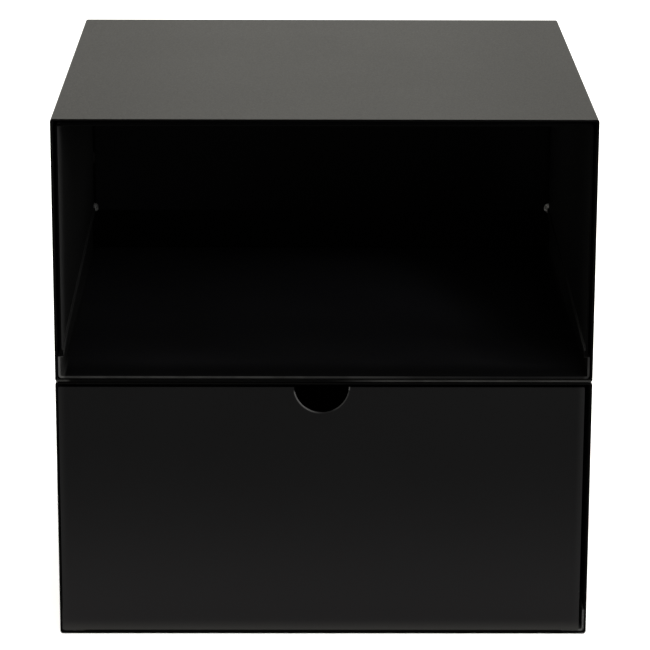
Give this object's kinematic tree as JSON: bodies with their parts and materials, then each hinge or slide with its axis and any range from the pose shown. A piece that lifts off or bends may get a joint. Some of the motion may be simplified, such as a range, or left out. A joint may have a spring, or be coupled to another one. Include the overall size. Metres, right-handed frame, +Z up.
{
  "type": "bedside cabinet",
  "caption": "Square black sheet-steel cabinet with an open compartment above a sliding drawer that has a half-round finger notch.",
  "frame": {"origin": "middle of the footprint, on the surface that the foot pads stand on", "axes": "+X to the right seen from the front, +Y to the back, +Z up; the drawer opens towards -Y"},
  "size_m": [0.4, 0.4, 0.4],
  "materials": {
    "black_coat": "satin black powder coat on sheet steel, fine orange peel",
    "front_coat": "satin black powder coat with a few nibs of dust under it",
    "inner_coat": "matt black powder coat",
    "runner_coat": "black powder coat, worn a little along the edges",
    "weld_coat": "black powder coat over rough weld beads",
    "black_rivet": "black painted blind rivets",
    "zinc_steel": "zinc-plated steel",
    "black_foam": "closed-cell foam tape",
    "black_rubber": "matt moulded rubber",
    "glide_nylon": "black low-friction plastic tape"
  },
  "bodies": {
    "cabinet": {"upper_shell": "black_coat", "lower_shell": "black_coat", "upper_back_panel": "black_coat", "lower_back_panel": "black_coat", "back_rivets": "black_rivet", "stack_rivets": "zinc_steel", "joint_gasket": "black_foam", "foot_pads": "black_rubber", "shelf_pan": "inner_coat", "liner_hood": "inner_coat", "liner_back": "inner_coat", "liner_welds": "weld_coat", "spacer_strips": "black_foam", "runner_left": "runner_coat", "runner_right": "runner_coat", "runner_welds": "weld_coat", "glide_strips": "glide_nylon", "drawer_stop": "zinc_steel", "stop_rivets": "zinc_steel", "stop_buffer": "black_rubber", "drawer_bumpers": "black_rubber"},
    "drawer": {"drawer_front": "front_coat", "drawer_tray": "black_coat", "drawer_back": "black_coat", "tray_rivets": "black_rivet", "front_studs": "zinc_steel", "front_nuts": "zinc_steel", "side_glides": "glide_nylon"}
  },
  "joints": [
    {"name": "drawer_slide", "type": "slide", "parent": "cabinet", "child": "drawer", "axis": [0, -1, 0], "range_m": [0, 0.25]}
  ]
}
